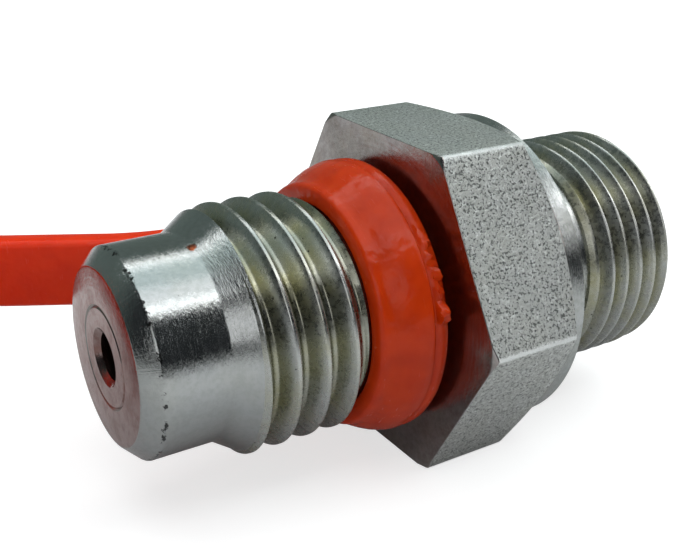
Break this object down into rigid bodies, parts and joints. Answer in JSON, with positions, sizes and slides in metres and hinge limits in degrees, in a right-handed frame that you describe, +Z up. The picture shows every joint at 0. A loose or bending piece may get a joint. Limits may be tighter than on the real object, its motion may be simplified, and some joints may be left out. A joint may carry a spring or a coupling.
{
  "type": "test point coupling",
  "caption": "Hydraulic test point coupling: threaded nose with a check valve inside, spanner hexagon, port stud, and a moulded strap that holds a dust cap.",
  "frame": {"origin": "centre of the port sealing face, the collar's rear face, on the coupling's axis", "axes": "+X runs along the axis out of the port stud, the nose points along -X, and +Z is up with the coupling lying on one flat of its hexagon"},
  "size_m": [0.0695, 0.0398, 0.022],
  "materials": {
    "zinc_steel": "turned and milled steel, zinc plated and passivated",
    "bare_steel": "fine turned stainless steel",
    "spring_steel": "drawn spring steel, oiled",
    "black_rubber": "matt black nitrile rubber",
    "white_ptfe": "matt white PTFE",
    "orange_plastic": "moulded orange-red polyamide, semi-gloss"
  },
  "bodies": {
    "coupling": {"body": "zinc_steel", "nose_insert": "zinc_steel", "probe_seal": "black_rubber", "backup_ring": "white_ptfe", "valve_spring": "spring_steel", "spring_retainer": "bare_steel", "circlip": "spring_steel", "port_seal": "black_rubber"},
    "valve": {"poppet": "bare_steel", "poppet_seal": "black_rubber"},
    "strap": {"cap_strap": "orange_plastic"},
    "cap": {"dust_cap": "orange_plastic", "cap_seal": "black_rubber"}
  },
  "joints": [
    {"name": "valve_slide", "type": "slide", "parent": "coupling", "child": "valve", "axis": [1, 0, 0], "range_m": [0, 0.0025], "stiffness_N_per_m": 900, "springref_m": -0.004, "deforming": ["valve_spring"]},
    {"name": "strap_swivel", "type": "hinge", "parent": "coupling", "child": "strap", "pos_m": [-0.012, 0, 0], "axis": [1, 0, 0], "continuous": true},
    {"name": "cap_spin", "type": "hinge", "parent": "strap", "child": "cap", "pos_m": [-0.04701, 0.02474, -0.0005], "axis": [0, -1, 0], "continuous": true}
  ]
}
